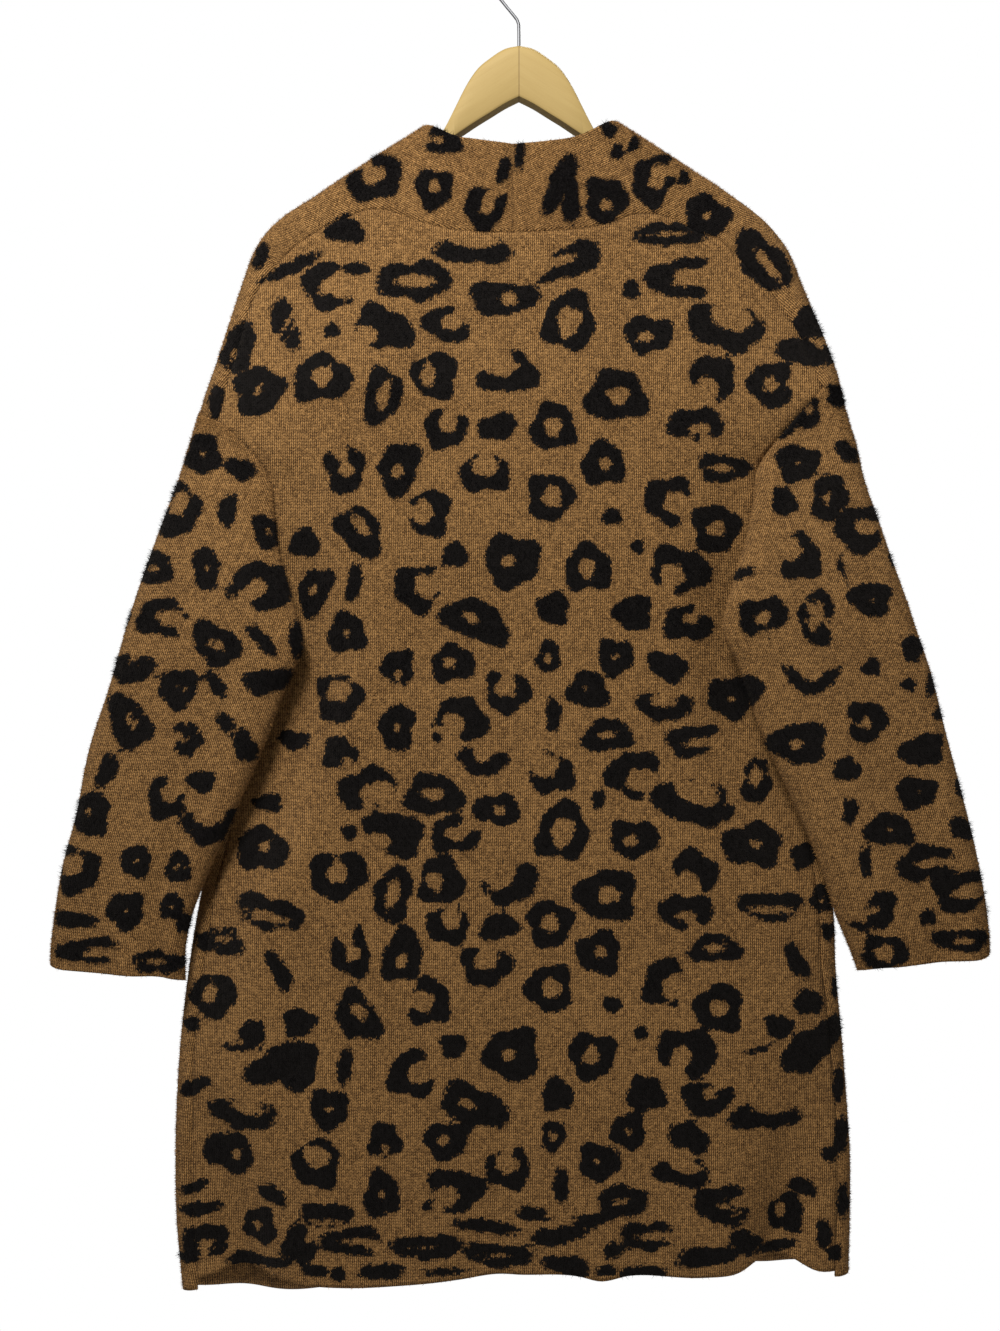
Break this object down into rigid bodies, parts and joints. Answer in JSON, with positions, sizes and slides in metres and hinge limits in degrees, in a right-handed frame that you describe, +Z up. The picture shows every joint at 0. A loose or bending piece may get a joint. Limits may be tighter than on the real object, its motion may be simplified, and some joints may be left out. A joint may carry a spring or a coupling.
{
  "type": "open-front cardigan on a hanger",
  "caption": "Thigh-length open-front cardigan in thick animal-print knit with drop shoulders, long sleeves and a shawl collar, hung on a wooden hanger with a wire hook.",
  "frame": {"origin": "the top of the hook's inside, where it rests on a rail", "axes": "+Z up along the cardigan's length, the open front faces -Y, the wearer's left is +X"},
  "size_m": [0.8174, 0.0783, 1.182],
  "materials": {
    "back": "brushed knit",
    "front_left": "brushed knit",
    "front_right": "brushed knit",
    "sleeve_left": "brushed knit",
    "sleeve_right": "brushed knit",
    "hanger": "satin",
    "hook": "satin"
  },
  "bodies": {
    "root": {"back": "back", "front_left": "front_left", "front_right": "front_right", "sleeve_left": "sleeve_left", "sleeve_right": "sleeve_right", "hanger": "hanger", "hook": "hook"}
  },
  "joints": []
}
